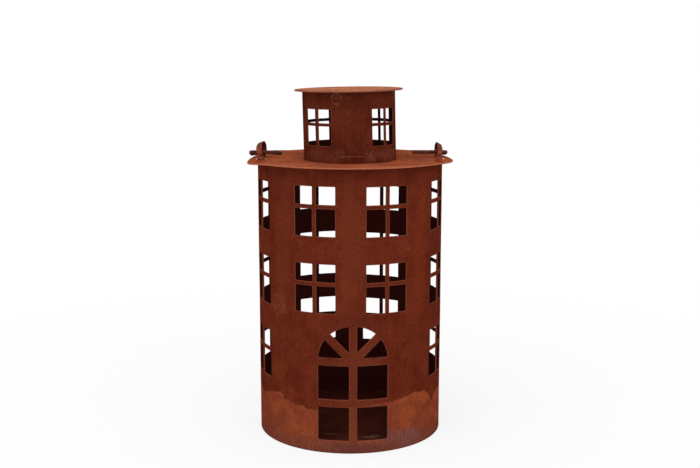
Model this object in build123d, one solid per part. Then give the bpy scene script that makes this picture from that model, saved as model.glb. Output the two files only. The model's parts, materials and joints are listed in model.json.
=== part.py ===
from build123d import *
from math import acos, asin, atan2, cos, degrees, hypot, radians, sin, sqrt, tan
import os

# Punched sheet steel lantern: a round tower with a lift-off roof, a cupola and a wire bail.
# Millimetres. Z is up, the lantern stands on z = 0 and the door faces -Y.
# Angles are counted from the front, positive towards +X.

# Stock
drum_gauge = 1.2
plate_gauge = 1.5
tab_gauge = 1.2
strap_gauge = 1.5
wire_diameter = 4.0
wire_sides = 10         # the long wire is drawn many-sided, to keep it light
rim_bevel = 0.4
bend_radius = 0.8

# Fits
weld_gap = 0.1          # welded piece to the curved wall behind it
lid_clearance = 0.8     # locating tabs under the roof to the inside of the drum
rest_gap = 0.3          # bail to the eyes and to the rim that it rests on

# Drum
body_radius = 100.0
body_height = 298.5
seam_lap = 12.0
floor_height = 8.8
floor_bevel = 1.0

# Drum windows, in rows spread between the lowest sill and the head band
window_angles = (22.0, 69.8, 113.2, 157.4)   # each on the left and on the right
window_width = 45.0
window_height = 51.0
window_bar = 4.3
window_lower_pane = 28.2
first_sill = 70.0
row_count = 3
head_band = 18.5

# Door, with a fanlight over it
door_angle = 1.3
door_width = 72.4
door_sill = 13.8
door_pane_height = 36.0
door_bar = 8.3
fan_drop = 2.4          # centre of the fan's arc below the top of the transom
fan_bar_tilt = 45.0

# Roof and cap plates
roof_overhang = 11.5
cap_overhang = 8.4

# Cupola and its windows
cupola_radius = 50.0
cupola_height = 73.5
cupola_angle = 2.0
cupola_window_count = 4
cupola_window_width = 35.0
cupola_window_height = 39.0
cupola_sill = 16.0
cupola_lower_pane = 21.1
cupola_bar = 3.3
cupola_lap = 8.0

# Bent tabs
tab_width = 12.0
tab_leg = 8.0
tab_count = 4
vent_margin = 0.7       # roof plate past the tabs, at the edge of the vent hole
cap_tab_angle = -16.5
cupola_tab_angle = -21.5
lid_tab_angle = 45.0

# Strap eyes
ear_inset = 15.5
ear_turn_left = 23.0    # how far the front of each eye is turned outwards
ear_turn_right = 10.0
ear_height = 17.2
ear_depth = 15.0
ear_strap = 5.2
ear_stem = 1.5
ear_foot = 25.0         # strap end turned out flat on the roof, at the front and at the back
bead_radius = 1.8
bead_top = 0.8
bead_height = 1.5

# Bail
bail_side_gap = 3.0     # eye to the leg beside it
bail_tail_left = 18.5   # wire end past the eye
bail_tail_right = 21.0
bail_bend = 5.0
bail_leg = 42.0
bail_shift = 1.7        # the loose bail lies this far to the left

# Levels and radii that follow
wire_radius = wire_diameter / 2
body_inner = body_radius - drum_gauge
row_pitch = (body_height - head_band - window_height - first_sill) / (row_count - 1)
roof_top = body_height + plate_gauge
roof_radius = body_radius + roof_overhang
cupola_inner = cupola_radius - drum_gauge
cupola_top = roof_top + cupola_height
cap_radius = cupola_radius + cap_overhang
vent_radius = cupola_inner - weld_gap - tab_leg - vent_margin
ear_place = roof_radius - ear_inset
ear_turns = {-1: ear_turn_left, 1: ear_turn_right}
cut_over = 3.0          # how far a cutter runs past the sheet

# Eye: a loop that narrows to a stem, with the wire resting aslant in the narrow end
eye_inner = ear_depth / 2 - strap_gauge
eye_centre = ear_height - ear_depth / 2
eye_slope = asin(eye_inner / (eye_centre - ear_stem))


# From the slanting side of an eye to the middle of the wire
def wire_room(turn):
    across = hypot(wire_radius / cos(radians(turn)) * cos(eye_slope), wire_radius * sin(eye_slope))
    shift = ear_strap / 2 * tan(radians(turn)) * cos(eye_slope)
    return across + shift + rest_gap


# Half of the width that an eye takes up along the wire
def eye_half_span(turn):
    return ear_depth / 2 * sin(radians(turn)) + ear_strap / 2 * cos(radians(turn))


pivot_height = ear_stem + max(wire_room(turn) for turn in ear_turns.values()) / sin(eye_slope)
pivot_level = roof_top + pivot_height

# Bail: its legs stand outside the eyes, and it droops until it rests on the rear rim
ear_half_span = max(eye_half_span(turn) for turn in ear_turns.values())
bail_half = ear_place + ear_half_span + bail_side_gap + wire_radius
bail_end_left = ear_place - ear_half_span - bail_tail_left
bail_end_right = ear_place - ear_half_span - bail_tail_right
rim_reach = sqrt(roof_radius**2 - (bail_half - bail_shift) ** 2)
rim_slant = hypot(rim_reach, pivot_height)
bail_droop = acos((wire_radius + rest_gap) / rim_slant) - atan2(rim_reach, pivot_height)


# Part of a ring about Z, centred on an angle from the front
def ring_sector(inner, outer, low, high, angle, sweep):
    section = Pos((inner + outer) / 2, (low + high) / 2) * Rectangle(outer - inner, high - low)
    start = angle - sweep / 2 - 90
    return Rot(0, 0, start) * revolve(Plane.XZ * section, Axis.Z, sweep)


# Degrees that a length of sheet takes up when it is rolled to a radius
def rolled(length, radius):
    return degrees(length / radius)


# Cutters for the four panes of one window
def window_cutters(radius, angle, sill, width, height, bar, lower_pane):
    pane_sweep = rolled((width - bar) / 2, radius)
    pane_turn = rolled((width + bar) / 4, radius)
    levels = ((sill, sill + lower_pane), (sill + lower_pane + bar, sill + height))
    return [
        ring_sector(radius - drum_gauge - cut_over, radius + cut_over, low, high, angle + turn, pane_sweep)
        for low, high in levels
        for turn in (-pane_turn, pane_turn)
    ]


# Rolled tube with the lap of its seam on the outside
def rolled_drum(radius, low, high, lap, lap_angle):
    tube = ring_sector(radius - drum_gauge, radius, low, high, 0, 360)
    return tube + ring_sector(radius - drum_gauge / 2, radius + drum_gauge, low, high, lap_angle, rolled(lap, radius))


# Four square panes and a fan of four, cut straight through the front of the drum
def door_cutter():
    half = door_width / 2
    pane_width = half - door_bar / 2
    pane_step = door_pane_height + door_bar
    transom_top = door_sill + 2 * pane_step
    hub = transom_top - door_bar / 2

    fan = Pos(0, transom_top - fan_drop) * Circle(half)
    fan -= Pos(0, transom_top - half) * Rectangle(2 * door_width, door_width)
    for tilt in (-fan_bar_tilt, 0, fan_bar_tilt):
        fan -= Pos(0, hub) * Rot(0, 0, tilt) * Pos(0, half) * Rectangle(door_bar, door_width)

    panes = [
        Pos(side * (half + door_bar / 2) / 2, door_sill + row * pane_step + door_pane_height / 2)
        * Rectangle(pane_width, door_pane_height)
        for side in (-1, 1)
        for row in (0, 1)
    ]
    return Rot(0, 0, door_angle) * extrude(Plane.XZ * (fan + panes), amount=body_radius + cut_over)


def make_body_shell():
    shell = rolled_drum(body_radius, 0, body_height, seam_lap, 180)
    cutters = [door_cutter()]
    for row in range(row_count):
        sill = first_sill + row * row_pitch
        # The door takes the place of the front pair in the lowest row
        angles = window_angles if row else window_angles[1:]
        for angle in angles:
            for side in (-1, 1):
                cutters += window_cutters(
                    body_radius, side * angle, sill, window_width, window_height, window_bar, window_lower_pane
                )
    return shell - cutters


# Pressed pan: a flat floor whose edge is turned down inside the drum
def make_floor_pan():
    outer = body_inner - weld_gap
    outline = Polyline(
        (0, floor_height),
        (outer, floor_height),
        (outer, 0),
        (outer - drum_gauge, 0),
        (outer - drum_gauge, floor_height - drum_gauge),
        (0, floor_height - drum_gauge),
        close=True,
    )
    face = make_face(outline)
    shoulder = face.vertices().sort_by_distance((outer, floor_height))[0]
    return revolve(Plane.XZ * chamfer(shoulder, floor_bevel), Axis.Z)


# Flat disc with the sharpness taken off its upper rim
def make_plate(radius, base):
    disc = Pos(0, 0, base) * Cylinder(radius, plate_gauge, align=(Align.CENTER, Align.CENTER, Align.MIN))
    return chamfer(disc.edges().filter_by(GeomType.CIRCLE).sort_by(Axis.Z)[-1], rim_bevel)


def make_roof_plate():
    vent = Pos(0, 0, body_height) * Cylinder(vent_radius, 2 * plate_gauge + cut_over)
    return make_plate(roof_radius, body_height) - vent


def make_cupola_shell():
    spacing = 360 / cupola_window_count
    shell = rolled_drum(cupola_radius, roof_top, cupola_top, cupola_lap, 180 + cupola_angle)
    cutters = []
    for index in range(cupola_window_count):
        cutters += window_cutters(
            cupola_radius,
            cupola_angle + spacing * (index + 0.5),
            roof_top + cupola_sill,
            cupola_window_width,
            cupola_window_height,
            cupola_bar,
            cupola_lower_pane,
        )
    return shell - cutters


def round_corner(face, corner, radius):
    return fillet(face.vertices().sort_by_distance(corner)[0], radius)


# Bent tab with one leg flat on a plate and one whose long edges meet a round wall, up or down
def make_tab(wall, seat, angle, hangs):
    back = sqrt(wall**2 - (tab_width / 2) ** 2)
    outline = Polyline(
        (back - tab_leg, 0),
        (back, 0),
        (back, tab_leg),
        (back - tab_gauge, tab_leg),
        (back - tab_gauge, tab_gauge),
        (back - tab_leg, tab_gauge),
        close=True,
    )
    face = make_face(outline)
    face = round_corner(face, (back, 0), bend_radius + tab_gauge)
    face = round_corner(face, (back - tab_gauge, tab_gauge), bend_radius)
    tab = extrude(Plane.XZ * face, amount=tab_width / 2, both=True)
    if hangs:
        tab = mirror(tab, about=Plane.XY)
    return Pos(0, 0, seat) * Rot(0, 0, angle - 90) * tab


# Round loop with straight sides that run tangent to a point below it
def teardrop(radius):
    side = radius * cos(eye_slope)
    tangent = eye_centre - radius * sin(eye_slope)
    tip = eye_centre - radius / sin(eye_slope)
    kite = Polygon((0, tip), (side, tangent), (0, eye_centre), (-side, tangent), align=None)
    return Pos(0, eye_centre) * Circle(radius) + kite


def ear_location(side):
    return Pos(side * ear_place, 0, roof_top)


# Strap bent round into an eye that is twisted outwards, its two ends turned out into straight feet
def make_ear(side):
    above_roof = Pos(0, ear_height / 2) * Rectangle(2 * ear_depth, ear_height)
    loop = (teardrop(ear_depth / 2) - teardrop(eye_inner)) & above_roof
    eye = Rot(0, 0, side * ear_turns[side]) * extrude(Plane.YZ * loop, amount=ear_strap / 2, both=True)
    feet = Pos(0, 0, strap_gauge / 2) * Box(ear_strap, 2 * ear_foot, strap_gauge)
    return ear_location(side) * (eye + feet)


# Weld beads on the two edges of the front foot, down on the roof
def make_ear_weld(side):
    bead = Cone(bead_radius, bead_top, bead_height, arc_size=180, align=None)
    beads = [
        ear_location(side) * Pos(face * ear_strap / 2, bead_radius - ear_foot, 0) * Rot(0, 0, -90 * face) * bead
        for face in (-1, 1)
    ]
    return Compound(children=beads)


# Bent wire: pin, bend, leg, arch, leg, bend, pin
def make_bail():
    corner = bail_half - bail_bend
    outline = [
        Line((-bail_end_left, 0), (-corner, 0)),
        CenterArc((-corner, bail_bend), bail_bend, 270, -90),
        Line((-bail_half, bail_bend), (-bail_half, bail_leg)),
        CenterArc((0, bail_leg), bail_half, 180, -90),
        CenterArc((0, bail_leg), bail_half, 90, -90),
        Line((bail_half, bail_leg), (bail_half, bail_bend)),
        CenterArc((corner, bail_bend), bail_bend, 0, -90),
        Line((corner, 0), (bail_end_right, 0)),
    ]
    drooped = Plane((0, 0, pivot_level), x_dir=(1, 0, 0), z_dir=(0, sin(bail_droop), cos(bail_droop)))
    path = Pos(-bail_shift, 0, 0) * drooped * Wire(outline)
    section = Plane(path @ 0, z_dir=path % 0) * RegularPolygon(wire_radius, wire_sides)
    return sweep(section, path=path)


pieces = {
    "body_shell": make_body_shell(),
    "floor_pan": make_floor_pan(),
    "roof_plate": make_roof_plate(),
    "cupola_shell": make_cupola_shell(),
    "cap_plate": make_plate(cap_radius, cupola_top),
    "ear_left": make_ear(-1),
    "ear_right": make_ear(1),
    "ear_weld_left": make_ear_weld(-1),
    "ear_weld_right": make_ear_weld(1),
    "bail": make_bail(),
}
for index in range(tab_count):
    turn = index * 360 / tab_count
    cupola_wall = cupola_inner - weld_gap
    lid_wall = body_inner - lid_clearance
    pieces[f"cap_tab_{index + 1}"] = make_tab(cupola_wall, cupola_top, cap_tab_angle + turn, True)
    pieces[f"cupola_tab_{index + 1}"] = make_tab(cupola_wall, roof_top, cupola_tab_angle + turn, False)
    pieces[f"lid_tab_{index + 1}"] = make_tab(lid_wall, body_height, lid_tab_angle + turn, True)

os.makedirs("parts", exist_ok=True)
for name, piece in pieces.items():
    export_step(piece, f"parts/{name}.step")
print(f"bail pivot at z = {pivot_level:.3f}, droop {degrees(bail_droop):.3f} degrees")
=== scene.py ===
import json
from math import acos, asin, atan2, cos, degrees, hypot, pi, radians, sin, sqrt, tan

import bpy
from mathutils import Matrix, Vector, kdtree, noise
from mathutils.geometry import delaunay_2d_cdt


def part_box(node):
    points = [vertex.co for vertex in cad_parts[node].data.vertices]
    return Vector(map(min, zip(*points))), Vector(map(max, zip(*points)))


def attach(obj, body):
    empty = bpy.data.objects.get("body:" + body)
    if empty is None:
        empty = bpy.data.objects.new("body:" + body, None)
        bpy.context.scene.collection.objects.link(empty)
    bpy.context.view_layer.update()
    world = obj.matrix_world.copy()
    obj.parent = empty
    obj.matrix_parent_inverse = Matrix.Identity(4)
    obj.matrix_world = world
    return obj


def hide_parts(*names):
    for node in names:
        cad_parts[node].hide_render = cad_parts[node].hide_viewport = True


# Rusted sheet steel lantern, dressed over its frame. Sheets are laid out flat in millimetres
# and rolled up, so most numbers below are millimetres and degrees from the front.
mm = 0.001

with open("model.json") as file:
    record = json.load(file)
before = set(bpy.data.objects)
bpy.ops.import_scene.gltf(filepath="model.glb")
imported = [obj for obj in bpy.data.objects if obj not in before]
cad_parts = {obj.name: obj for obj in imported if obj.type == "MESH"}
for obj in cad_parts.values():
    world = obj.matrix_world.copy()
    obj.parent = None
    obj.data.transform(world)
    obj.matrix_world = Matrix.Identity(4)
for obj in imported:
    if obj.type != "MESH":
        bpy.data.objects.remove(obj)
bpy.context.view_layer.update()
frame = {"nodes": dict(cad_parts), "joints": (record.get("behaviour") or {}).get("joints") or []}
nodes = frame["nodes"]
print("frame:", len(nodes), "nodes")


def highCorner(name):  # of a node, in millimetres
    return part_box(name)[1] / mm


drumRadius, _, drumTop = highCorner("body_shell")
roofRadius, _, roofTop = highCorner("roof_plate")
cupolaRadius, _, cupolaTop = highCorner("cupola_shell")
capRadius, _, capTop = highCorner("cap_plate")
pivotLevel = next(j for j in frame["joints"] if j["name"] == "bail_swing")["pos_m"][2] / mm


def smoothStep(low, high, value):
    share = min(max((value - low) / (high - low), 0.0), 1.0)
    return share * share * (3 - 2 * share)


def placed(name, data):
    made = bpy.data.objects.new(name, data)
    bpy.context.scene.collection.objects.link(made)
    return made


def addPiece(name, verts, faces, body, slot, material, wear=None, stands=()):
    mesh = bpy.data.meshes.new(name)
    mesh.from_pydata([v * mm for v in verts], [], faces)
    mesh.polygons.foreach_set("use_smooth", [True] * len(faces))
    if wear:
        mesh.attributes.new("edgeWear", "FLOAT", "POINT").data.foreach_set("value", wear)
    mesh.materials.append(material)
    piece = placed(name, mesh)
    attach(piece, body)
    if stands:
        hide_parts(*stands)
    return piece


# Shader maths

class Field:  # a socket in a material, with operators that add Math nodes
    def __init__(self, tree, socket=None):
        self.tree = tree
        self.socket = socket

    def node(self, kind, settings=None, inputs=None, output=0):
        made = self.tree.nodes.new("ShaderNode" + kind)
        for key, value in (settings or {}).items():
            if key == "stops":
                self.setStops(made.color_ramp, value)
            else:
                setattr(made, key, value)
        for key, value in (inputs or {}).items():
            socket = self.find(made.inputs, key)
            if isinstance(value, Field):
                self.tree.links.new(value.socket, socket)
            elif socket.type == "RGBA" and len(value) == 3:
                socket.default_value = (*value, 1)
            else:
                socket.default_value = value
        return Field(self.tree, self.find(made.outputs, output) if made.outputs else None)

    @staticmethod
    def find(sockets, key):
        if isinstance(key, int):
            return sockets[key]
        return next(s for s in sockets if key in (s.identifier, s.name))

    @staticmethod
    def setStops(ramp, stops):
        while len(ramp.elements) > 1:
            ramp.elements.remove(ramp.elements[-1])
        ramp.elements[0].position = stops[0][0]
        for place, _ in stops[1:]:
            ramp.elements.new(place)
        for element, (_, colour) in zip(ramp.elements, stops):
            element.color = (*colour, 1)

    def math(self, operation, *values):
        return self.node("Math", {"operation": operation}, dict(enumerate(values)))

    def __add__(self, other):
        return self.math("ADD", self, other)

    def __sub__(self, other):
        return self.math("SUBTRACT", self, other)

    def __rsub__(self, other):
        return self.math("SUBTRACT", other, self)

    def __mul__(self, other):
        return self.math("MULTIPLY", self, other)

    def __truediv__(self, other):
        return self.math("DIVIDE", self, other)

    __radd__ = __add__
    __rmul__ = __mul__

    def step(self, low, high):  # smooth 0 to 1 between two levels
        levels = {"Value": self, "From Min": low, "From Max": high}
        return self.node("MapRange", {"interpolation_type": "SMOOTHSTEP"}, levels)

    def nearZero(self, low, high):  # 1 where this is near 0
        return 1 - self.math("ABSOLUTE", self).step(low, high)

    def between(self, start, end):
        return self.step(*start) * (1 - self.step(*end))

    def spot(self, up, ragged, soft):  # 1 in a ragged round spot, from the shares of its width and height
        away = self.math("SQRT", self * self + up * up) + ragged
        return 1 - away.step(*soft)

    def noise(self, scale, detail=3.0, rough=0.55, warp=0.0):  # self is the vector
        inputs = {"Vector": self, "Scale": scale, "Detail": detail, "Roughness": rough, "Distortion": warp}
        return self.node("TexNoise", None, inputs)

    def ragged(self, scale, reach, detail=4, rough=0.65):  # noise to both sides of 0
        return (self.noise(scale, detail, rough) - 0.5) * reach

    def parts(self):  # self is the vector
        return [self.node("SeparateXYZ", None, {"Vector": self}, i) for i in range(3)]

    def length(self):  # self is the vector
        return self.node("VectorMath", {"operation": "LENGTH"}, {0: self}, "Value")

    def stretched(self, x, y, z):  # self is the vector
        return self.node("VectorMath", {"operation": "MULTIPLY"}, {0: self, 1: (x, y, z)})

    def scaled(self, value):  # self is a colour
        return self.node("VectorMath", {"operation": "SCALE"}, {0: self, "Scale": value})

    def blend(self, share, first, second):  # from one colour to another
        colours = {"Factor_Float": share, "A_Color": first, "B_Color": second}
        return self.node("Mix", {"data_type": "RGBA"}, colours, "Result_Color")

    def paint(self, share, colour):  # a colour laid over this one
        return self.blend(share, self, colour)

    def wear(self):  # what addPiece stored on the points: wear, and painted light and shade
        return self.node("Attribute", {"attribute_name": "edgeWear"}, None, "Fac")


def newFinish(name):
    material = bpy.data.materials.new(name)
    material.use_nodes = True
    tree = material.node_tree
    tree.nodes.clear()
    return material, Field(tree)


def closeFinish(field, colour, clouds, height, look, shine=0.0):
    bump = field.node("Bump", None, {
        "Strength": look["bump"],
        "Distance": look["relief"] * mm,
        "Height": height + clouds * look["cloudRelief"],
    })
    shader = field.node("BsdfPrincipled", None, {
        "Base Color": colour,
        "Roughness": look["rough"] + look["roughCloud"] * clouds - shine,
        "Specular IOR Level": look["gloss"],
        "Normal": bump,
    })
    field.node("OutputMaterial", None, {"Surface": shader})


# Rust that all the steel shares: two browns in soft clouds and orange bloom, then grain, flecks and pits
def startRust(name, look):
    material, field = newFinish(name)
    here = field.node("TexCoord", None, None, "Object")
    clouds = here.noise(look["clouds"], detail=4.0, rough=0.6, warp=0.4)
    bloom = here.noise(look["blooms"], detail=5.0, rough=0.65, warp=0.8)
    base = field.blend(clouds.step(*look["cloudEdge"]), look["dark"], look["mid"])
    share = bloom.step(look["bloomFrom"], look["bloomFrom"] + look["bloomSoft"]) * look["bloomShare"]
    return material, field, here, base.paint(share, look["orange"]), clouds


def weathered(here, base, look):
    grain = here.noise(look["grain"], detail=3.0, rough=0.7)
    specks = here.noise(look["specks"], detail=3.0, rough=0.6)
    pits = 1 - specks.step(*look["pitEdge"])
    speckle = 1 + look["fleckGain"] * specks.step(*look["fleckEdge"]) - look["pitShade"] * pits
    return base.scaled(speckle * (1 + (grain - 0.5) * look["grainShade"])), grain, (grain - pits) * 0.5


def streaked(here, base, look):  # runs down a wall
    runs = here.stretched(1, 1, look["runStretch"]).noise(look["runs"], detail=3.0, rough=0.6)
    return base.scaled(1 + (runs - 0.5) * look["runShade"])


def scratchMarks(here, look):
    marks = here.stretched(1, 1, look["scratchStretch"]).noise(look["scratches"], detail=3, rough=0.7)
    return marks.step(*look["scratchEdge"])


def spotsInPlan(here, base, look):  # ragged spots laid out in plan: dust and stains, and on the roof also painted shade and painted reflected light
    x, y, _ = here.parts()
    ragged = here.ragged(*look["planRag"])
    for placeX, placeY, wide, deep, share, colour in look["dustAndShading"]:
        across = (x / mm - placeX) / wide
        along = (y / mm - placeY) / deep
        base = base.paint(across.spot(along, ragged, look["planSoft"]) * share, colour)
    return base


def closeWall(field, here, base, clouds, radius, outside, look):  # soot inside, worn cut edges with a painted highlight
    base, grain, height = weathered(here, base, look)
    outer, inner = look["sootDepth"]
    within = 1 - radius.step((outside - inner) * mm, (outside - outer) * mm)
    base = base.paint(within * look["sootShare"], look["soot"])
    edgeCover = field.wear() * (look["edgeShare"] + look["edgeGrain"] * grain)
    base = base.paint(edgeCover * (1 - within * look["sootShield"]), look["edge"])
    closeFinish(field, base, clouds, height, look)


def rustFinish(name, look):  # with the layers that the look has settings for
    material, field, here, base, clouds = startRust(name, look)
    shine = 0.0
    if "dustAndShading" in look:
        base = spotsInPlan(here, base, look)
    base, grain, height = weathered(here, base, look)
    if "sootFade" in look:  # soot where the value is below 0; above it the edge colour on the rims, worn with a painted highlight on the roof and a painted shade on the cap's rim
        wornAndShaded = field.wear()
        base = base.paint((wornAndShaded * -1).step(0.0, look["sootFade"]) * look["sootShare"], look["soot"])
        edgeCover = field.math("MAXIMUM", wornAndShaded, 0.0) * (look["edgeShare"] + look["edgeGrain"] * grain)
        base = base.paint(edgeCover, look["edge"])
    if "paintedShading" in look:  # painted shade where the value is above 0, painted light where it is below
        base = base.scaled(1 - field.wear() * look["paintedShading"])
    if "bareGlint" in look:  # bare metal where the rust is knocked off, painted bright as a glint
        share = (field.wear() + here.ragged(*look["bareRag"])).step(*look["bareEdge"])
        base = base.paint(share, look["bareGlint"])
        shine = share * look["bareShine"]
    closeFinish(field, base, clouds, height, look, shine)
    return material


# Drum: one sheet, cut flat and rolled, with its ends lapped at the back

drum = dict(
    gauge=1.2,
    turn=0.0,
    lap=12.0,
    lapRise=7.0,  # run over which the outer end climbs on the inner one
    lapWelds=(22, 92, 172, 250, 286),
    weldRadius=3.0, weldDent=0.35,
    # angle of each pair of columns, and how far the left and the right one stray: turn in degrees and rise
    columns=(
        (22.0, (0.0, -0.4), (0.0, -0.8)), (69.8, (-0.7, -0.5), (0.0, -0.5)),
        (113.2, (-0.7, 1.6), (0.0, 0.5)), (157.4, (0.0, 2.2), (0.0, 0.4)),
    ),
    window=(45.0, 51.0), bar=4.3, lowerPane=28.2,
    sills=(70.0, 149.5, 229.0),
    doorAngle=1.3, doorWidth=72.4, doorSill=13.8, doorPane=36.0, doorBar=8.3,
    fanDrop=2.4, fanSteps=10,
    bevel=0.18,  # cut edges
    band=0.7,  # worn band beside the cut edges, with its painted highlight
    corner=0.5,
    step=4.0,
    dent=0.16, dentScale=0.011,
)


def signedArea(loop):
    return sum(a.x * b.y - b.x * a.y for a, b in zip(loop, loop[1:] + loop[:1])) / 2


def facing(loop, sign):
    return loop if signedArea(loop) * sign > 0 else loop[::-1]


def corners(loop):  # each point with the directions to it and on from it
    for i, point in enumerate(loop):
        yield point, (point - loop[i - 1]).normalized(), (loop[(i + 1) % len(loop)] - point).normalized()


def pushed(loop, distance):  # moves a loop into the sheet, which lies on its right
    moved = []
    for point, before, after in corners(loop):
        across = Vector((before.y + after.y, -before.x - after.x))
        moved.append(point + across * (distance / (1 + before.dot(after))))
    return moved


def run(start, end, count):  # from one point to just before another
    return [start.lerp(end, i / count) for i in range(count)]


def arc(x, y, radius, start, end, count):
    angles = [start + (end - start) * i / count for i in range(count + 1)]
    return [Vector((x + radius * cos(a), y + radius * sin(a))) for a in angles]


def circle(x, y, radius, count):
    return arc(x, y, radius, 0, 2 * pi, count)[:-1]


def spaced(loop, step):
    points = []
    for a, b in zip(loop, loop[1:] + loop[:1]):
        points += run(a, b, max(1, round((b - a).length / step)))
    return points


def softCorners(loop, radius):  # takes the points off sharp corners
    points = []
    sharp = radians(30)
    for point, before, after in corners(loop):
        turn = before.angle(after)
        if turn < sharp:
            points.append(point)
            continue
        cut = radius * tan(turn / 2)
        inward = (after - before).normalized() * (radius / cos(turn / 2) - radius)
        points += [point - before * cut, point + inward, point + after * cut]
    return points


def rectangle(left, low, right, high):
    return [Vector(p) for p in ((left, low), (right, low), (right, high), (left, high))]


def windowLoops(centre, sill, sheet):  # four panes
    (width, height), bar, lowerPane = sheet["window"], sheet["bar"], sheet["lowerPane"]
    columns = ((-width / 2, -bar / 2), (bar / 2, width / 2))
    rows = ((sill, sill + lowerPane), (sill + lowerPane + bar, sill + height))
    panes = [rectangle(centre + a, low, centre + b, high) for a, b in columns for low, high in rows]
    return [spaced(pane, sheet["step"]) for pane in panes]


# Panes of the door in the flat of the front, and the same wrapped on to the sheet
def doorLoops():
    half = drum["doorWidth"] / 2
    bar = drum["doorBar"] / 2
    pitch = drum["doorPane"] + drum["doorBar"]
    transom = drum["doorSill"] + 2 * pitch
    middle = transom - drum["fanDrop"]
    hub = transom - bar

    def rim(start, end):
        return arc(0, middle, half, start, end, drum["fanSteps"])

    def onArc(shift):  # where a 45 degree line, shifted up, meets the arc
        reach = sqrt(2 * half**2 - shift**2)
        return atan2((shift + reach) / 2, (reach - shift) / 2)

    above = hub - middle + bar * sqrt(2)
    below = hub - middle - bar * sqrt(2)
    inner = [Vector((bar, middle + bar + above))] + rim(onArc(above), acos(bar / half))
    outer = [Vector((transom - middle - below, transom))]
    outer += rim(asin((transom - middle) / half), onArc(below))
    sills = [drum["doorSill"] + row * pitch for row in (0, 1)]
    panes = [rectangle(bar, sill, half, sill + drum["doorPane"]) for sill in sills]
    right = [inner, outer] + [spaced(pane, drum["step"]) for pane in panes]
    left = [[Vector((-p.x, p.y)) for p in loop] for loop in right]
    turn = radians(drum["doorAngle"])

    def wrapped(point):
        return Vector((drumRadius * (asin(point.x / drumRadius) + turn), point.y))

    return [[wrapped(point) for point in loop] for loop in right + left]


def extent(loop):  # left, right, low and high
    xs, ys = [p.x for p in loop], [p.y for p in loop]
    return min(xs), max(xs), min(ys), max(ys)


def holeTest(loops):  # tells whether a point lies in one of the loops
    boxes = [(*extent(loop), loop) for loop in loops]

    def crossings(point, loop):
        for a, b in zip(loop, loop[1:] + loop[:1]):
            if (a.y > point.y) != (b.y > point.y):
                yield point.x < a.x + (b.x - a.x) * (point.y - a.y) / (b.y - a.y)

    def inHole(point):
        near = [h for left, right, low, high, h in boxes if left < point.x < right and low < point.y < high]
        return any(sum(crossings(point, loop)) % 2 for loop in near)

    return inHole


filling = dict(
    ringPoints=5,  # more on each ring round a spot
    rings=7,
    ringsInside=5,  # of which so many lie in the spot
    rowPitch=0.87,
    spotRoom=0.3,  # kept clear of the cut edges near a spot
    room=0.6,  # and elsewhere, as a share of the step
    spotReach=1.4,  # even points keep off a spot by this share of its radius
    spotGap=0.4,  # and this share of the step
)


def fillPoints(rings, inHole, spots, step):  # points spread over the sheet, closer round the spots
    tree = kdtree.KDTree(sum(len(ring) for ring in rings))
    for i, point in enumerate(p for ring in rings for p in ring):
        tree.insert(point.to_3d(), i)
    tree.balance()
    close, even = [], []
    for x, y, radius in spots:
        for ring in range(1, filling["rings"] + 1):
            close += circle(x, y, radius * ring / filling["ringsInside"], filling["ringPoints"] * ring)
    left, right, low, high = extent(rings[0])
    rows = int((high - low) / (step * filling["rowPitch"]))
    columns = int((right - left) / step)
    for row in range(1, rows):
        for column in range(1, columns):
            x = left + (column + 0.5 * (row % 2)) * step
            even.append(Vector((x, low + row * (high - low) / rows)))
    reaches = [(s, filling["spotReach"] * s[2] + filling["spotGap"] * step) for s in spots]

    def nearSpot(point):
        return any((point - Vector(s[:2])).length < reach for s, reach in reaches)

    def isClear(point, room):
        inside = left < point.x < right and low < point.y < high
        return inside and tree.find(point.to_3d())[2] >= room and not inHole(point)

    kept = [p for p in close if isClear(p, filling["spotRoom"])]
    return kept + [p for p in even if not nearSpot(p) and isClear(p, filling["room"] * step)]


def ringFaces(first, count):  # quads from one closed ring of points to the next
    ahead = [(i + 1) % count for i in range(count)]
    return [(first + i, first + j, first + count + j, first + count + i) for i, j in enumerate(ahead)]


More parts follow.
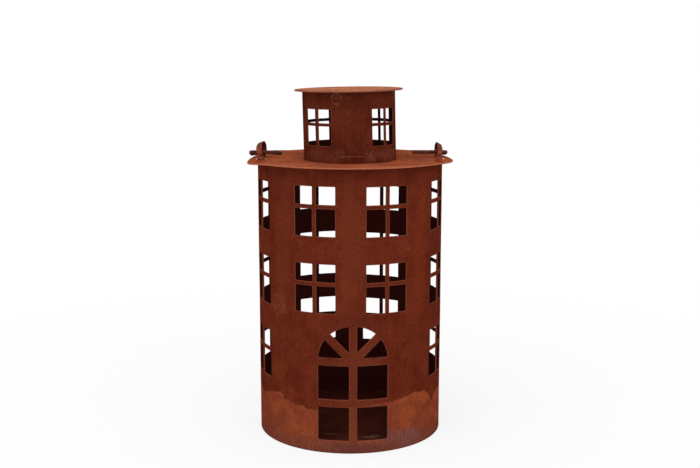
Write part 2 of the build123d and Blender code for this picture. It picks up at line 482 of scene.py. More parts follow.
# A sheet with holes becomes a closed piece with bevelled cut edges
def rollSheet(name, sheet, radius, low, high, holes, spots, **piece):
    place = rolledPlace(radius, sheet, spots)
    half = pi * radius + sheet["lap"] / 2
    outline = spaced(rectangle(-half, low, half, high), sheet["step"])
    loops = [facing(outline, -1)] + [softCorners(facing(hole, 1), sheet["corner"]) for hole in holes]
    bevel, gauge = sheet["bevel"], sheet["gauge"]
    edge = bevel + sheet["band"]
    layers = (  # push into the sheet, depth, and wear with its painted highlight
        (edge, 0, 0), (bevel, 0, 1), (0, bevel, 1),
        (0, gauge - bevel, 1), (bevel, gauge, 1), (edge, gauge, 0),
    )
    verts, faces, wear = [], [], []
    flat, rings, edges = [], [], []
    faceIndex, backIndex = [], []
    for loop in loops:
        count = len(loop)
        first = len(verts)
        for push, depth, wornAndShaded in layers:
            verts += [place(p.x, p.y, depth) for p in pushed(loop, push)]
            wear += [wornAndShaded] * count
        faceIndex += range(first, first + count)
        backIndex += range(len(verts) - count, len(verts))
        rings.append(pushed(loop, edge))
        edges += [(len(flat) + i, len(flat) + (i + 1) % count) for i in range(count)]
        flat += rings[-1]
        for layer in range(len(layers) - 1):
            faces += ringFaces(first + layer * count, count)
    inHole = holeTest(rings[1:])
    extra = fillPoints(rings, inHole, spots, sheet["step"])
    for depth, index in ((0, faceIndex), (gauge, backIndex)):
        index.extend(range(len(verts), len(verts) + len(extra)))
        verts += [place(p.x, p.y, depth) for p in extra]
        wear += [0] * len(extra)
    points, _, triangles, origin, _, _ = delaunay_2d_cdt(flat + extra, edges, [], 1, 1e-5)
    for triangle in triangles:
        shape = [points[i] for i in triangle]
        if inHole((shape[0] + shape[1] + shape[2]) / 3):
            continue
        a, b, c = (origin[i][0] for i in triangle)
        if signedArea(shape) < 0:
            b, c = c, b
        faces.append((faceIndex[a], faceIndex[b], faceIndex[c]))
        faces.append((backIndex[a], backIndex[c], backIndex[b]))
    print(name, len(verts), "points", len(faces), "faces")
    addPiece(name, verts, faces, slot="drum_steel", wear=wear, **piece)


def dimple(u, v, spots, deep):  # shallow round dent of a spot weld
    shares = [hypot(u - x, v - y) / radius for x, y, radius in spots]
    return sum(deep * (1 - share * share) ** 2 for share in shares if share < 1)


# The cupola stands a little askew, so its cap dips to the left and the front, and the roof gives under it
lean = dict(
    left=0.85,
    front=0.5,
    shift=-1.6,
    sink=1.6,  # all round the foot
    frontSink=0.8,  # and more at the front
    dish=(52.0, 88.0),  # radii between which the roof comes level again
    foot=14.0,  # height of the wall that is drawn down
)


def leaned(point):
    share = max(point.z - roofTop, 0) / (capTop - roofTop)
    slope = Vector((tan(radians(lean["left"])), tan(radians(lean["front"]))))
    drop = (slope.length * capRadius - slope.dot(point.xy)) * share
    radius = max(point.xy.length, 1)
    fade = (1 - smoothStep(*lean["dish"], radius)) * (1 - smoothStep(0, lean["foot"], point.z - roofTop))
    sink = (lean["sink"] - lean["frontSink"] * point.y / radius) * fade
    return point + Vector((lean["shift"] * share, 0, -drop - sink))


rolling = dict(
    lapGap=0.05,
    lapEase=0.4,  # the outer end is up this far before the inner one starts
    lapHold=40.0,  # the sheet lies true this near the lap
)


def rolledPlace(radius, sheet, spots):
    end = pi * radius
    lapEnd = end - sheet["lap"] / 2

    def place(u, v, depth):
        turn = u / radius + radians(sheet["turn"])
        climb = smoothStep(lapEnd - sheet["lapRise"], lapEnd - rolling["lapEase"], u)
        lift = (sheet["gauge"] + rolling["lapGap"]) * climb
        spot = Vector((sin(turn), -cos(turn), 0)) * radius
        wave = noise.noise(Vector((spot.x, spot.y, v)) * sheet["dentScale"]) * sheet["dent"]
        hold = smoothStep(0, rolling["lapHold"], end - abs(u))
        out = radius - depth + lift + wave * hold - dimple(u, v, spots, sheet["weldDent"])
        return leaned(Vector((out * sin(turn), -out * cos(turn), v)))

    return place


# Finish of the drum: dark red rust with runs, an orange foot with a ragged tide line, soot inside
drumLook = dict(
    dark=(0.098, 0.015, 0.0066),
    mid=(0.128, 0.0215, 0.0095),
    orange=(0.165, 0.032, 0.01),
    clouds=30.0, cloudEdge=(0.34, 0.66),
    blooms=24.0, bloomFrom=0.56, bloomSoft=0.16, bloomShare=0.55,
    grain=560.0, grainShade=0.9,
    specks=330.0,
    fleckEdge=(0.56, 0.68), fleckGain=0.25,
    pitEdge=(0.33, 0.43), pitShade=0.22,
    runs=190.0, runStretch=0.05, runShade=0.36,
    scratches=560.0, scratchStretch=0.7, scratchEdge=(0.47, 0.62),
    bump=0.5, relief=0.25, cloudRelief=0.4,
    rough=0.82, roughCloud=0.12,
    gloss=0.0,
    soot=(0.057, 0.0115, 0.008),
    sootDepth=(0.55, 0.95),  # from clean to black through the gauge
    sootShare=0.94,
    sootShield=0.8,  # how far soot hides the worn edges and their painted highlight
    # paler edge colour: wear on the cut edges, and a painted highlight along them
    edge=(0.215, 0.07, 0.042), edgeShare=0.3, edgeGrain=0.5,
    # height of the tide line by angle
    tide=(
        (-180, 50), (-120, 54), (-80, 49), (-66, 47), (-54, 55), (-48, 54), (-36, 48), (-27, 44.5), (-20, 45),
        (0, 50), (20, 53), (32, 55), (43, 58), (52, 56), (57, 51), (61, 40), (65, 48), (75, 49), (120, 52),
        (180, 50),
    ),
    tideTop=100.0,  # height that full white in the ramp stands for
    tideRag=(95.0, 7.8),  # scale and reach of the noise
    tideSoft=0.9,
    foot=(0.19, 0.038, 0.018), footOrange=(0.262, 0.056, 0.0205), footNoise=38.0,
    footEdge=(0.4, 0.62), footShare=0.92,
    grey=(0.14, 0.041, 0.028),
    greyEdge=(2.0, 24.0),  # fades out between these heights
    greyShare=0.7,
    # pale line along the tide, between these angles
    line=(0.33, 0.13, 0.045), lineFrom=(-72, -62), lineTo=(-24, -16), lineRise=0.4,
    lineSoft=(0.1, 0.9), lineNoise=130.0, lineBreaks=(0.4, 0.6), lineShare=0.55,
    spotRag=(70.0, 1.1),
    patchSoft=(0.45, 1.15), scuffSoft=(0.3, 1.2),
    # angle, height, half width, half height, share, colour
    patches=(
        (0, 215, 17, 70, 0.45, (0.152, 0.0315, 0.0125)),  # lighter between the windows
        (-46, 205, 13, 80, 0.4, (0.142, 0.027, 0.011)),
        (46, 205, 13, 80, 0.55, (0.16, 0.024, 0.0085)),
        (0, 140, 40, 13, 0.45, (0.088, 0.015, 0.0074)),  # darker over the door
        (1.3, 78, 38, 60, 0.5, (0.134, 0.0285, 0.013)),  # bars of the door
        (1.3, 30, 7, 28, 0.6, (0.122, 0.026, 0.0125)),
        (0, 4, 40, 10, 0.75, (0.112, 0.031, 0.022)),  # under the door
        (36, 10, 26, 13, 0.55, (0.145, 0.056, 0.05)),  # grey haze at the foot
        (22, 15, 9, 10, 0.5, (0.12, 0.05, 0.05)),
        (-50, 83, 15, 13, 0.45, (0.165, 0.036, 0.01)),  # orange beside the side window
        (-60, 66, 16, 12, 0.45, (0.105, 0.022, 0.01)),
        (61, 52, 4, 12, 0.6, (0.125, 0.026, 0.009)),  # run below the side window
        (36, 38, 14, 13, 0.5, (0.27, 0.06, 0.018)),
        (-26, 28, 11, 16, 0.45, (0.26, 0.054, 0.02)),
        (-48, 27, 14, 10, 0.4, (0.15, 0.036, 0.02)),
    ),
    scuffs=(
        (-50, 152, 16, 17, 0.5, (0.24, 0.085, 0.05)),
        (0, 6, 44, 9, 0.12, (0.23, 0.095, 0.072)),
        (33, 12, 30, 13, 0.28, (0.26, 0.122, 0.098)),
        (-24, 10, 30, 12, 0.35, (0.3, 0.09, 0.04)),
    ),
)


def drumFinish():
    look = drumLook
    material, field, here, base, clouds = startRust("drumRust", look)
    x, y, z = here.parts()
    radius = here.stretched(1, 1, 0).length()
    angle = field.math("ARCTAN2", x, y * -1) * degrees(1)
    level = z / mm
    base = streaked(here, base, look)

    rag = here.ragged(*look["tideRag"])
    stops = [((a + 180) / 360, (h / look["tideTop"],) * 3) for a, h in look["tide"]]
    tide = field.node("ValToRGB", {"stops": stops}, {0: (angle + 180) / 360}) * look["tideTop"] + rag
    foot = 1 - (level - tide).step(-look["tideSoft"], look["tideSoft"])
    cloud = here.noise(look["footNoise"], detail=4, rough=0.6, warp=0.6)
    footColour = field.blend(cloud.step(*look["footEdge"]), look["foot"], look["footOrange"])
    grey = 1 - (level + rag * 2).step(*look["greyEdge"])
    footColour = footColour.paint(grey * look["greyShare"], look["grey"])
    base = base.paint(foot * look["footShare"], footColour)
    line = (level - tide - look["lineRise"]).nearZero(*look["lineSoft"])
    breaks = here.noise(look["lineNoise"], detail=2).step(*look["lineBreaks"])
    line = line * angle.between(look["lineFrom"], look["lineTo"]) * breaks
    base = base.paint(line * look["lineShare"], look["line"])

    ragged = here.ragged(*look["spotRag"])
    degree = radians(1) * drumRadius
    scratches = scratchMarks(here, look)
    for kind, soft, cover in (("patches", "patchSoft", 1.0), ("scuffs", "scuffSoft", scratches)):
        for spotAngle, spotLevel, wide, tall, share, colour in look[kind]:
            across = (angle - spotAngle) * (degree / wide)
            up = (level - spotLevel) / tall
            base = base.paint(across.spot(up, ragged, look[soft]) * cover * share, colour)
    closeWall(field, here, base, clouds, radius, drumRadius, look)
    return material


def buildDrum(material):
    holes = []
    for row, sill in enumerate(drum["sills"]):
        for angle, left, right in drum["columns"][0 if row else 1:]:
            for place, (turn, rise) in ((-angle, left), (angle, right)):
                holes += windowLoops(radians(place + turn) * drumRadius, sill + rise, drum)
    holes += doorLoops()
    spots = [(pi * drumRadius, level, drum["weldRadius"]) for level in drum["lapWelds"]]
    rollSheet(
        "drumSheet", drum, drumRadius, 0, drumTop, holes, spots,
        body="body", material=material, stands=("body_shell",),
    )


buildDrum(drumFinish())


# Cupola: the same kind of sheet, smaller, with the round marks of its spot welds

cupola = dict(
    gauge=1.2,
    lap=8.0, lapRise=6.0,
    turn=2.0,
    window=(35.0, 39.0), bar=3.3, lowerPane=21.1,
    sill=16.0,
    windowTurns=(-135.0, -45.0, 46.5, 135.0),
    capWelds=(-15.6, 72.5, 163.5, -106.5), capWeldDrop=7.0,
    footWelds=(-22.0, 30.0, 118.0, -112.0), footWeldRise=5.0,
    weldRadius=6.2, weldDent=0.22,
    bevel=0.18, band=0.6, corner=0.5, step=3.0,
    dent=0.1, dentScale=0.02,
)

cupolaLook = dict(
    drumLook,
    dark=(0.08, 0.014, 0.0064),
    mid=(0.108, 0.0195, 0.009),
    orange=(0.15, 0.03, 0.01),
    clouds=45.0,
    runs=260.0, runStretch=0.06,
    scratches=620.0, scratchEdge=(0.46, 0.62),
    edgeShare=0.25,
    # round weld marks
    mark=(0.3, 0.135, 0.095), markNoise=260.0, markEdge=(0.36, 0.66), markShare=0.42,
    ring=5.2, ringSoft=(0.3, 1.4),
    middleSoft=(1.0, 4.2), middleShare=0.7,
    # thin line round the front of the foot, between these angles
    seamRise=5.6, seamRag=1.5, seamSoft=(0.2, 0.9), seamFrom=(-18, -10), seamTo=(14, 22),
    seamBreaks=(0.4, 0.6), seamShare=0.4,
    haze=(0.215, 0.1, 0.075),
    glow=(0.14, 0.029, 0.013),
    hazeRise=6.0, hazeTall=9.0, hazeRag=1.2, hazeSoft=(0.2, 1.1),
    # angle, half width, share of the warm tone and of the pale grain over the foot
    hazes=(
        (-44, 18, 0.3, 0.34), (-18, 12, 0.3, 0.38), (27, 9, 0.5, 0.6), (56, 32, 1.0, 0.26),
        (112, 12, 0.4, 0.4), (-118, 14, 0.4, 0.4),
    ),
)


def cupolaSpots():
    marks = [(angle, cupolaTop - cupola["capWeldDrop"]) for angle in cupola["capWelds"]]
    marks += [(angle, roofTop + cupola["footWeldRise"]) for angle in cupola["footWelds"]]
    degree = radians(1) * cupolaRadius
    return [((angle - cupola["turn"]) * degree, level, cupola["weldRadius"]) for angle, level in marks]


def cupolaFinish():
    look = cupolaLook
    material, field, here, base, clouds = startRust("cupolaRust", look)
    x, y, z = here.parts()
    level = z / mm
    risen = field.math("MAXIMUM", (level - roofTop) / (capTop - roofTop), 0.0)
    x = x - risen * (lean["shift"] * mm)  # takes the lean out again
    radius = field.math("SQRT", x * x + y * y)
    angle = field.math("ARCTAN2", x, y * -1) * degrees(1)
    base = streaked(here, base, look)

    ragged = here.noise(look["markNoise"], detail=3, rough=0.6)
    degree = radians(1) * cupolaRadius
    for markAngle in cupola["capWelds"]:  # pale ring with a broken middle
        way = Matrix.Rotation(radians(markAngle), 3, "Z") @ Vector((0, -cupolaRadius, 0))
        across = (angle - markAngle) * degree
        up = level - leaned(way + Vector((0, 0, cupolaTop - cupola["capWeldDrop"]))).z
        away = field.math("SQRT", across * across + up * up)
        ring = (away - look["ring"]).nearZero(*look["ringSoft"])
        middle = (1 - away.step(*look["middleSoft"])) * look["middleShare"]
        mark = field.math("MAXIMUM", ring, middle) * ragged.step(*look["markEdge"])
        base = base.paint(mark * look["markShare"], look["mark"])
    scratches = scratchMarks(here, look)
    up = (level - roofTop - look["hazeRise"]) / look["hazeTall"]
    for hazeAngle, wide, warm, pale in look["hazes"]:  # pale scratched grain over the foot
        across = (angle - hazeAngle) * degree / wide
        haze = across.spot(up, (ragged - 0.5) * look["hazeRag"], look["hazeSoft"])
        base = base.paint(haze * warm, look["glow"])
        base = base.paint(haze * scratches * pale, look["haze"])
    seam = (level - roofTop - look["seamRise"] + (ragged - 0.5) * look["seamRag"]).nearZero(*look["seamSoft"])
    seam = seam * angle.between(look["seamFrom"], look["seamTo"])
    base = base.paint(seam * ragged.step(*look["seamBreaks"]) * look["seamShare"], look["mark"])
    closeWall(field, here, base, clouds, radius, cupolaRadius, look)
    return material


def buildCupola(material):
    holes = []
    for turn in cupola["windowTurns"]:
        holes += windowLoops(radians(turn) * cupolaRadius, roofTop + cupola["sill"], cupola)
    rollSheet(
        "cupolaSheet", cupola, cupolaRadius, roofTop, cupolaTop, holes, cupolaSpots(),
        body="lid", material=material, stands=("cupola_shell",),
    )


buildCupola(cupolaFinish())


# Roof and cap: flat discs turned with soft rims, lighter and more orange on top; the cap's paleness is partly
# a painted sheen

plate = dict(
    vent=40.0,
    centre=0.8,  # where the rings of the cap stop
    rim=0.45,
    rimEase=0.29,  # share of the rim at its middle point
    rimBand=1.3,  # band beside the rim that takes the edge colour
    flat=3.0,  # the even rings end this far in
    step=4.0,
    turns=200,
    nibble=0.12,  # how far the snips wandered inside the line
    nibbleScale=4.0, nibbleBand=(12.0, 1.0),
    knockFrom=0.5,  # bend outside the drum
    knockCurve=1.6,
    # the overhang is knocked down in two places: angle, half width in degrees, drop at the rim
    knocks=((-85.0, 40.0, 4.2), (92.0, 44.0, 2.4)),
)

roofLook = dict(
    drumLook,
    dark=(0.235, 0.054, 0.024),
    mid=(0.305, 0.074, 0.031),
    orange=(0.36, 0.094, 0.03),
    soot=(0.075, 0.015, 0.009),
    # paler edge colour on the roof's rim: wear with a painted highlight
    edge=(0.41, 0.13, 0.064),
    clouds=34.0,
    blooms=42.0, bloomFrom=0.52, bloomShare=0.5,
    grain=260.0, grainShade=1.7,
    sootShare=0.9, sootFade=0.6,
    edgeShare=0.35,
    planRag=(85.0, 1.2), planSoft=(0.3, 1.2),
    # x, y, half width, half depth, share, colour
    dustAndShading=(
        (-60, -80, 34, 15, 0.35, (0.35, 0.108, 0.058)),
        (35, -98, 40, 9, 0.3, (0.37, 0.115, 0.062)),
        (70, -62, 26, 12, 0.35, (0.25, 0.068, 0.038)),
        (12, -60, 52, 15, 0.55, (0.43, 0.088, 0.02)),  # painted reflected light: orange at the foot of the cupola, here and on the next line
        (48, -34, 9, 22, 0.5, (0.4, 0.085, 0.022)),
        # painted shade in front of the cupola's foot, here and on the next line
        (20, -72, 30, 9, 0.35, (0.195, 0.045, 0.022)),
        (-25, -68, 22, 8, 0.35, (0.195, 0.04, 0.018)),
        (-74, -6, 15, 34, 0.45, (0.37, 0.09, 0.026)),
        (76, -14, 12, 30, 0.45, (0.19, 0.05, 0.03)),
        (92.5, -40, 5, 24, 0.85, (0.165, 0.024, 0.007)),  # stains before the eyes
        (-94.5, -36, 6, 18, 0.65, (0.15, 0.026, 0.009)),
    ),
)
# the cap's pale browns stand partly for its rust and partly for a painted sheen across its top
capLook = dict(
    roofLook,
    dark=(0.31, 0.105, 0.055),
    mid=(0.41, 0.154, 0.083),
    # darker edge colour: painted shade along the cap's rim
    edge=(0.23, 0.072, 0.04),
    orange=(0.42, 0.135, 0.055),
    dustAndShading=(
        (-20, 10, 26, 22, 0.4, (0.44, 0.18, 0.105)),
        (24, -28, 20, 14, 0.4, (0.36, 0.13, 0.072)),
        (-8, -44, 28, 9, 0.35, (0.33, 0.105, 0.055)),
    ),
)


def knockedDown(bearing, radius):  # how far the overhang hangs below the flat of the roof
    start = drumRadius + plate["knockFrom"]
    reach = max(radius - start, 0) / (roofRadius - start)
    drops = [drop * (1 - smoothStep(0, half, abs(bearing - at))) for at, half, drop in plate["knocks"]]
    return sum(drops) * reach ** plate["knockCurve"]


def lathe(name, profile, closed, **piece):  # profile of radius, height and the edge value (wear, with painted light and shade)
    count, turns = len(profile), plate["turns"]
    reach = max(r for r, _, _ in profile)
    cutFrom, cutTo = (reach - band for band in plate["nibbleBand"])
    verts, faces = [], []
    for j in range(turns):
        angle = 2 * pi * j / turns
        way = Vector((sin(angle), -cos(angle), 0))
        cut = plate["nibble"] * (0.5 + 0.5 * noise.noise(way * plate["nibbleScale"]))
        bearing = degrees(angle if angle < pi else angle - 2 * pi)
        for r, z, _ in profile:
            level = Vector((0, 0, z - knockedDown(bearing, r)))
            verts.append(leaned(way * (r - cut * smoothStep(cutFrom, cutTo, r)) + level))
    for j in range(turns):
        near, far = j * count, (j + 1) % turns * count
        for i in range(count if closed else count - 1):
            k = (i + 1) % count
            faces.append((near + i, far + i, far + k, near + k))
    if not closed:
        faces.append([j * count for j in reversed(range(turns))])
        faces.append([j * count + count - 1 for j in range(turns)])
    wear = [wornAndShaded for _, _, wornAndShaded in profile] * turns
    addPiece(name, verts, faces, body="lid", slot="plate_steel", wear=wear, **piece)


def plateProfile(start, radius, low, high):  # radius, height and the edge value (wear, with painted light and shade), which is -1 on the underside
    rim, soft = plate["rim"], plate["rim"] * plate["rimEase"]
    band, flat = radius - plate["rimBand"], radius - plate["flat"]
    count = round((flat - start) / plate["step"])
    radii = [start + (flat - start) * i / count for i in range(count + 1)]
    under = [(r, low, -1) for r in radii + [band]]
    lower = [(radius - rim, low, 1), (radius - soft, low + soft, 1), (radius, low + rim, 1)]
    upper = [(radius, high - rim, 1), (radius - soft, high - soft, 1), (radius - rim, high, 1)]
    return under + lower + upper + [(r, high, 0) for r in [band] + radii[::-1]]


def buildPlates():
    roof = plateProfile(plate["vent"], roofRadius, drumTop, roofTop)
    lathe("roofDisc", roof, True, material=rustFinish("roofRust", roofLook), stands=("roof_plate",))
    cap = plateProfile(plate["centre"], capRadius, cupolaTop, capTop)
    lathe("capDisc", cap, False, material=rustFinish("capRust", capLook), stands=("cap_plate",))


buildPlates()
print("plates turned")


# Eyes, bail and weld beads

ear = dict(
    inset=15.5,
    turn={-1: 20.0, 1: 10.0},
    height=17.2, depth=15.0,
    strap={-1: 6.1, 1: 5.3},
    gauge=1.5, stem=1.5, foot=25.0,
    fold=0.8,  # bend from a foot up into its leg
    steps=(8, 10, 4, 14),  # along a foot, a fold, a leg and half the top
    topShare=(0.6, 0.95),  # shares of the height between which the top begins
    roll={-1: 22.0, 1: 30.0},  # the top of the strap leans outwards
    sunk={-1: 0.4, 1: 1.8},  # and is beaten down
    # painted shade over the top of each eye
    topShade=0.6,
    lowShare=(0.35, 0.6),
    shine=2.1,  # painted light on the low outsides of the legs
    corner=0.4,
    uneven=(0.07, 0.6),  # reach and scale of the noise
)

bail = dict(
    wire=4.0,
    sides=16,
    half=106.324,
    endLeft=72.176, endRight=69.676,
    bend=5.0, leg=42.0,
    steps=(8, 8, 8, 32),  # along a pin, a bend, a leg and half the arch
    droop=5.15,
    shift=1.7,  # the loose bail lies to the left
    pinTilt=6.0,  # the left end dips towards the middle
    sag={-1: 2.0, 1: 1.4},  # the legs dip behind the eyes
    sagFrom=(0.0, 16.0), sagTo=(50.0, 110.0),
    nib=(0.5, 0.78),  # length and share of the snipped ends
    uneven=(0.05, 0.6),
)

bead = dict(
    apart=2.6, radius=1.75, height=1.5,
    lumps=0.35, lumpScale=1.7,
    bareGlint=(0.6, 0.4),  # bare metal with a painted glint: share on the outer bead, and more on its top
    bareTop=(0.1, 0.8),
    dull=0.15,  # of the inner bead
    rings=7, turns=18,
)

strapLook = dict(
    drumLook,
    dark=(0.144, 0.036, 0.0205),
    mid=(0.225, 0.062, 0.033),
    orange=(0.26, 0.068, 0.026),
    clouds=160.0, blooms=210.0, grain=1300.0, specks=800.0,
    relief=0.15,
)
# how strongly the painted shade and light on the eyes scale their colour
eyeLook = dict(strapLook, paintedShading=0.58)
wireLook = dict(
    strapLook,
    dark=(0.064, 0.017, 0.0112),
    mid=(0.118, 0.036, 0.0245),
    orange=(0.11, 0.028, 0.012),
    bloomFrom=0.6,
    gloss=0.1,
)
beadLook = dict(
    strapLook,
    # bare metal lightened into a painted glint
    bareGlint=(0.9, 0.64, 0.54),
    bareRag=(900.0, 0.5, 2, 0.6),  # scale, reach, detail and roughness of the noise
    bareEdge=(0.45, 0.75), bareShine=0.35,
    relief=0.2,
)


def sweep(name, stations, section, uneven, **piece):  # section carried along (place, across, up, size)
    verts, faces = [], []
    count = len(section)
    reach, scale = uneven
    for place, across, up, size in stations:
        for u, v in section:
            point = place + (across * u + up * v) * size
            verts.append(point + (point - place).normalized() * noise.noise(point * scale) * reach)
    for s in range(len(stations) - 1):
        faces += ringFaces(s * count, count)
    last = (len(stations) - 1) * count
    faces.append(list(range(count))[::-1])
    faces.append(list(range(last, last + count)))
    addPiece(name, verts, faces, **piece)


def roundedSection(wide, thick, corner):
    points = []
    for quarter, (sx, sy) in enumerate(((1, 1), (-1, 1), (-1, -1), (1, -1))):
        for i in range(4):
            angle = radians(90 * quarter + 30 * i)
            x = sx * (wide / 2 - corner) + corner * cos(angle)
            points.append((x, sy * (thick / 2 - corner) + corner * sin(angle)))
    return points


# Middle line of a strap from foot to foot over the top: depth, height and share of the twist
def eyeLine():
    centre = ear["height"] - ear["depth"] / 2
    inner = ear["depth"] / 2 - ear["gauge"]
    middle = inner + ear["gauge"] / 2
    slope = asin(inner / (centre - ear["stem"]))
    tip = centre - middle / sin(slope)
    flat, fold = ear["gauge"] / 2, ear["fold"]
    knee = (flat - tip) * tan(slope) + fold / tan(pi / 4 - slope / 2)
    footSteps, foldSteps, legSteps, topSteps = ear["steps"]
    half = run(Vector((ear["foot"], flat)), Vector((knee, flat)), footSteps)
    half += arc(knee, flat + fold, fold, -pi / 2, -pi - slope, foldSteps)
    top = arc(0, centre, middle, -slope, pi / 2, topSteps)
    half += run(half[-1], top[0], legSteps)[1:] + top
    shares = [min(max((i - footSteps) / foldSteps, 0), 1) for i in range(len(half))]
    line = [(point.x, point.y, share) for point, share in zip(half, shares)]
    return line + [(-depth, height, share) for depth, height, share in line[-2::-1]]


def earPlace(side):
    return Vector((side * (roofRadius - ear["inset"]), 0, roofTop))


def buildEar(side, name, stands, material):
    line = eyeLine()
    section = roundedSection(ear["strap"][side], ear["gauge"], ear["corner"])
    rim = ear["strap"][side] / 2 - ear["corner"]
    stations, shade = [], []
    for i, (depth, height, share) in enumerate(line):
        before, after = line[max(i - 1, 0)], line[min(i + 1, len(line) - 1)]
        along = Vector((after[0] - before[0], after[1] - before[1])).normalized()
        risen = height / ear["height"]
        atTop = smoothStep(*ear["topShare"], risen)
        turn = Matrix.Rotation(radians(side * ear["turn"][side] * share), 3, "Z")
        roll = radians(-side * ear["roll"][side] * atTop)
        turned = Matrix.Rotation(roll, 3, turn @ Vector((0, along.x, along.y))) @ turn
        place = turn @ Vector((0, depth, height - ear["sunk"][side] * risen)) + earPlace(side)
        stations.append((place, turned @ Vector((1, 0, 0)), turned @ Vector((0, along.y, -along.x)), 1.0))
        # painted shade inside the loop and over its top; painted light low on the outsides of the legs, and a
        # painted highlight along the outer face's rim towards the middle
        inside = max(atTop * ear["topShade"], share)
        outside = atTop * ear["topShade"] - share * (1 - smoothStep(*ear["lowShare"], risen)) * ear["shine"]
        for u, v in section:
            outerShading = min(outside, -1.0) if u * side < -rim else outside
            shade.append(outerShading if v > 0 else inside)
    sweep(
        name, stations, section, ear["uneven"],
        body="lid", slot="strap_steel", material=material, wear=shade, stands=(stands,),
    )


def buildBeads(side, name, stands, material):
    verts, faces, bareGlint = [], [], []
    count = bead["turns"]
    plain, top = bead["bareGlint"]
    for face in (-1, 1):
        first = len(verts)
        middle = Vector((face * bead["apart"], bead["radius"] - ear["foot"], 0)) + earPlace(side)
        for ring in range(bead["rings"]):
            rise = pi / 2 * ring / bead["rings"]
            for spot in circle(0, 0, cos(rise), count):
                way = Vector((*spot, sin(rise)))
                lump = noise.noise(way * bead["lumpScale"] + Vector((7 * side, 3 * face, 0)))
                size = Vector((bead["radius"] * way.x, bead["radius"] * way.y, bead["height"] * way.z))
                verts.append(middle + size * (1 - bead["lumps"] * abs(lump)))
                # the painted glint on bare metal, strongest on the top of the outer bead
                outer = smoothStep(*bead["bareTop"], way.z) * top + plain
                bareGlint.append(outer if face == side else bead["dull"])
        for ring in range(bead["rings"] - 1):
            faces += ringFaces(first + ring * count, count)
        faces.append([first + i for i in reversed(range(count))])
        faces.append(list(range(len(verts) - count, len(verts))))
    addPiece(name, verts, faces, "lid", "weld_metal", material, bareGlint, (stands,))


def bailHalf(end):  # pin, bend, leg and half the arch on the right, in the plane of the wire
    wide, bend, leg = bail["half"], bail["bend"], bail["leg"]
    corner = wide - bend
    pinSteps, bendSteps, legSteps, archSteps = bail["steps"]
    half = run(Vector((end, 0)), Vector((corner, 0)), pinSteps)
    half += arc(corner, bend, bend, -pi / 2, 0, bendSteps)
    half += run(Vector((wide, bend)), Vector((wide, leg)), legSteps)[1:]
    return half + arc(0, leg, wide, 0, pi / 2, archSteps)


def buildBail(material):
    droop = radians(bail["droop"])
    back = Vector((0, cos(droop), -sin(droop)))
    normal = Vector((0, sin(droop), cos(droop)))
    clear = roofRadius - ear["inset"] - ear["strap"][-1]

    def dip(point):  # of the left end once it is through the eye, and of both legs
        past = point.x - bail["shift"] + clear if point.y == 0 and point.x < 0 else 0
        fade = smoothStep(*bail["sagFrom"], point.y) * (1 - smoothStep(*bail["sagTo"], point.y))
        sag = bail["sag"][-1 if point.x < 0 else 1] * fade
        return tan(radians(bail["pinTilt"])) * max(past, 0) + sag

    left = [Vector((-p.x, p.y)) for p in bailHalf(bail["endLeft"])]
    line = bailHalf(bail["endRight"]) + left[-2::-1]
    places = [Vector((p.x - bail["shift"], 0, pivotLevel)) + back * p.y - normal * dip(p) for p in line]
    stations = []
    for i, place in enumerate(places):
        along = (places[min(i + 1, len(line) - 1)] - places[max(i - 1, 0)]).normalized()
        across = normal.cross(along).normalized()
        stations.append((place, across, along.cross(across), 1.0))
    for end, inward in ((0, 1), (-1, -1)):  # snipped ends with the burr rubbed off
        length, small = bail["nib"]
        place, across, up, size = stations[end]
        nib = (places[end + inward] - place).normalized() * length
        stations[end] = (place + nib, across, up, size)
        stations.insert(0 if end == 0 else len(stations), (place, across, up, small))
    section = circle(0, 0, bail["wire"] / 2, bail["sides"])
    sweep(
        "bailWire", stations, section, bail["uneven"],
        body="bail", slot="wire_steel", material=material, stands=("bail",),
    )


strapRust = rustFinish("strapRust", eyeLook)
beadMetal = rustFinish("beadMetal", beadLook)
for side, hand in ((-1, "left"), (1, "right")):
    buildEar(side, "eye." + hand, "ear_" + hand, strapRust)
    buildBeads(side, "beads." + hand, "ear_weld_" + hand, beadMetal)
buildBail(rustFinish("wireRust", wireLook))
print("eyes, beads and bail bent")


# Floor pan and lid tabs keep their frame shapes, and the other tabs lean with the cupola

rims = {"pan": 0.3, "tab": 0.25, "join": 0.02, "segments": 2}

panLook = dict(
    drumLook,
    dark=(0.062, 0.0135, 0.009),
    mid=(0.098, 0.0225, 0.0145),
    orange=(0.14, 0.033, 0.015),
    clouds=26.0,
    bloomFrom=0.62,
    planRag=(120.0, 1.6), planSoft=(0.2, 1.2),
    # x, y, half width, half depth, share, colour
    dustAndShading=(
        (21, -74, 10, 2.6, 0.5, (0.3, 0.15, 0.125)),
        (27, -70, 6, 3.0, 0.4, (0.26, 0.12, 0.1)),
        (-21, -65, 13, 3.0, 0.35, (0.19, 0.08, 0.062)),
        (0, 0, 40, 40, 0.3, (0.11, 0.027, 0.017)),
    ),
)


def softenRims(piece, rim):
    weld = piece.modifiers.new("join", "WELD")
    weld.merge_threshold = rims["join"] * mm
    soften = piece.modifiers.new("rim", "BEVEL")
    soften.width = rim * mm
    soften.segments = rims["segments"]
    soften.limit_method = "ANGLE"


def dressNode(name, material, rim):
    nodes[name].data.materials.clear()
    nodes[name].data.materials.append(material)
    softenRims(nodes[name], rim)


def settleTab(name, material, rim):  # takes the place of its node
    node = nodes[name]
    verts = [leaned(node.matrix_world @ v.co / mm) for v in node.data.vertices]
    faces = [list(p.vertices) for p in node.data.polygons]
    kind, number = name.split("_tab_")
    tab = addPiece(kind + "Tab." + number, verts, faces, "lid", "strap_steel", material, None, (name,))
    tab.data.polygons.foreach_set("use_smooth", [p.use_smooth for p in node.data.polygons])
    softenRims(tab, rim)


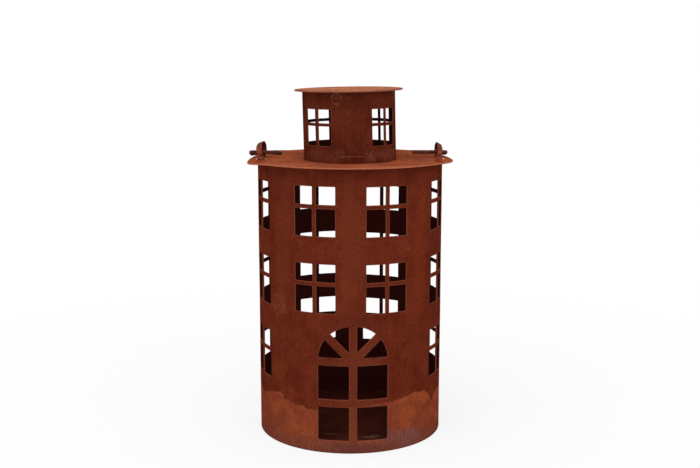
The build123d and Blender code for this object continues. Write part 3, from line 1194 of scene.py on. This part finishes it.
tabLook = dict(strapLook, dark=(0.07, 0.0145, 0.0075), mid=(0.105, 0.022, 0.011))
tabRust = rustFinish("tabRust", tabLook)
dressNode("floor_pan", rustFinish("panRust", panLook), rims["pan"])
for name in nodes:
    if name.startswith("lid_tab_"):
        dressNode(name, tabRust, rims["tab"])
    elif "_tab_" in name:
        settleTab(name, tabRust, rims["tab"])
print("pan and tabs dressed")


# Camera, light and floor

stageLook = dict(
    cameraAt=(-0.01025, -1.175, 0.4139), cameraTurn=(80.412, 0.0, -0.5),
    lens=55.72,
    sensor=36.0,
    sky=0.8,
    floorColour=(0.86, 0.86, 0.86),
    floorLift=0.8,  # how much of the floor is plain white to the camera
    floorSize=6.0,
    floorFade=(0.15, 0.9),  # distances over which the rest of it turns white
    aim=(0.0, 0.0, 0.18),
    # place, size and power of each soft box
    boxes=(
        ((-0.5, -0.9, 1.9), 1.6, 14.0),
        ((0.9, -1.4, 1.2), 1.4, 6.0),
    ),
)


def showsWhite(field):  # 1 where the camera, a reflection or a clear piece looks straight at the surroundings
    rays = ("Is Camera Ray", "Is Glossy Ray", "Is Transmission Ray")
    camera, glossy, through = (field.node("LightPath", None, None, ray) for ray in rays)
    return field.math("MAXIMUM", field.math("MAXIMUM", camera, glossy), through)


def setStage():
    scene = bpy.context.scene
    scene.view_settings.view_transform = "Standard"

    lens = bpy.data.cameras.new("camera")
    lens.lens = stageLook["lens"]
    lens.sensor_width = stageLook["sensor"]
    camera = placed("camera", lens)
    camera.location = stageLook["cameraAt"]
    camera.rotation_euler = [radians(a) for a in stageLook["cameraTurn"]]
    scene.camera = camera

    scene.world = bpy.data.worlds.new("studio")
    scene.world.use_nodes = True
    scene.world.node_tree.nodes.clear()
    sky = Field(scene.world.node_tree)
    shown = showsWhite(sky)
    strength = stageLook["sky"] + shown * (1 - stageLook["sky"])
    light = sky.node("Background", None, {"Color": (1, 1, 1), "Strength": strength})
    sky.node("OutputWorld", None, {"Surface": light})

    for place, size, power in stageLook["boxes"]:
        lamp = bpy.data.lights.new("softBox", "AREA")
        lamp.size = size
        lamp.energy = power
        box = placed("softBox", lamp)
        box.location = place
        box.rotation_euler = (Vector(stageLook["aim"]) - Vector(place)).to_track_quat("-Z", "Y").to_euler()

    half = stageLook["floorSize"] / 2
    mesh = bpy.data.meshes.new("floor")
    verts = [(-half, -half, 0), (half, -half, 0), (half, half, 0), (-half, half, 0)]
    mesh.from_pydata(verts, [], [(0, 1, 2, 3)])
    floor = placed("floor", mesh)
    material, field = newFinish("paleFloor")
    matte = field.node("BsdfDiffuse", None, {"Color": stageLook["floorColour"]})
    white = field.node("Emission", None, {"Color": (1, 1, 1), "Strength": 1.0})
    away = field.node("TexCoord", None, None, "Object").length()
    lift = stageLook["floorLift"]
    share = showsWhite(field) * (lift + (1 - lift) * away.step(*stageLook["floorFade"]))
    mixed = field.node("MixShader", None, {0: share, 1: matte, 2: white})
    field.node("OutputMaterial", None, {"Surface": mixed})
    mesh.materials.append(material)


setStage()
print("stage set")
